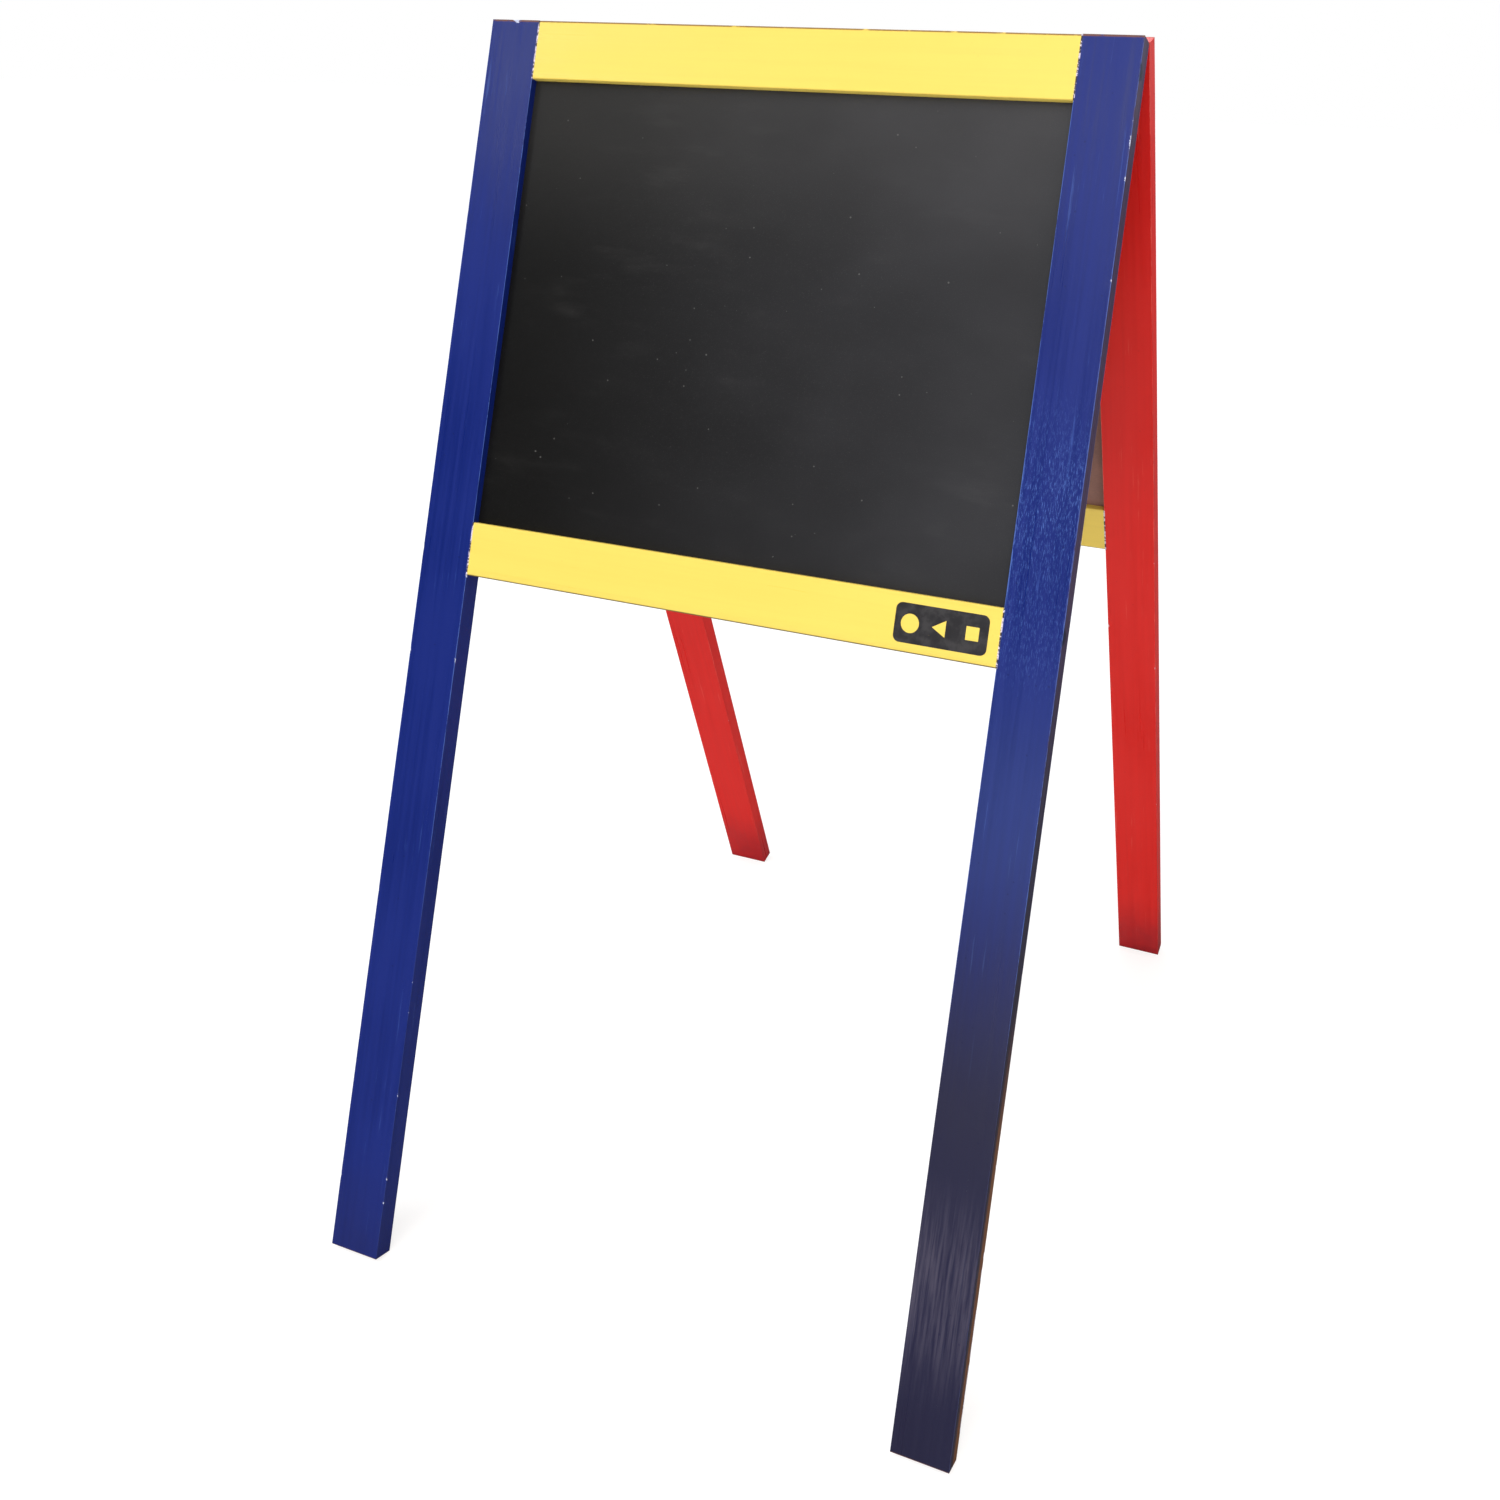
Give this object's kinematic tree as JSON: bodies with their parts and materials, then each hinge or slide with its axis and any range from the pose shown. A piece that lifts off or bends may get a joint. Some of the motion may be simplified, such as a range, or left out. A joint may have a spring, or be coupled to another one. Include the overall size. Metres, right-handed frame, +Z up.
{
  "type": "kids easel",
  "caption": "Double-sided folding A-frame easel for a child: painted timber frames with a chalkboard in front and a wipe-clean board behind, hinged at the top.",
  "frame": {"origin": "on the floor, in the middle between the four feet", "axes": "+X across the easel to the right of a child who faces the chalkboard, +Y from the chalkboard frame to the rear frame, +Z up"},
  "size_m": [0.544, 0.6532, 0.9652],
  "materials": {
    "blue_paint": "gloss",
    "red_paint": "gloss",
    "yellow_paint": "gloss",
    "chalkboard": "matte",
    "whiteboard": "satin",
    "dowel_wood": "matte",
    "hinge_steel": "satin",
    "fastener_steel": "satin"
  },
  "bodies": {
    "front_frame": {"front_left_stile": "blue_paint", "front_right_stile": "blue_paint", "front_top_rail": "yellow_paint", "front_bottom_rail": "yellow_paint", "chalkboard_panel": "chalkboard", "front_top_left_dowels": "dowel_wood", "front_top_right_dowels": "dowel_wood", "front_bottom_left_dowels": "dowel_wood", "front_bottom_right_dowels": "dowel_wood", "left_hinge_front_leaf": "hinge_steel", "right_hinge_front_leaf": "hinge_steel", "left_hinge_pin": "fastener_steel", "right_hinge_pin": "fastener_steel", "left_hinge_front_screws": "fastener_steel", "right_hinge_front_screws": "fastener_steel"},
    "rear_frame": {"rear_left_stile": "red_paint", "rear_right_stile": "red_paint", "rear_top_rail": "yellow_paint", "rear_bottom_rail": "yellow_paint", "whiteboard_panel": "whiteboard", "rear_top_left_dowels": "dowel_wood", "rear_top_right_dowels": "dowel_wood", "rear_bottom_left_dowels": "dowel_wood", "rear_bottom_right_dowels": "dowel_wood", "left_hinge_rear_leaf": "hinge_steel", "right_hinge_rear_leaf": "hinge_steel", "left_hinge_rear_screws": "fastener_steel", "right_hinge_rear_screws": "fastener_steel"}
  },
  "joints": [
    {"name": "fold", "type": "hinge", "parent": "front_frame", "child": "rear_frame", "pos_m": [0, 0, 0.9518], "axis": [1, 0, 0], "range_deg": [-36, 0]}
  ]
}
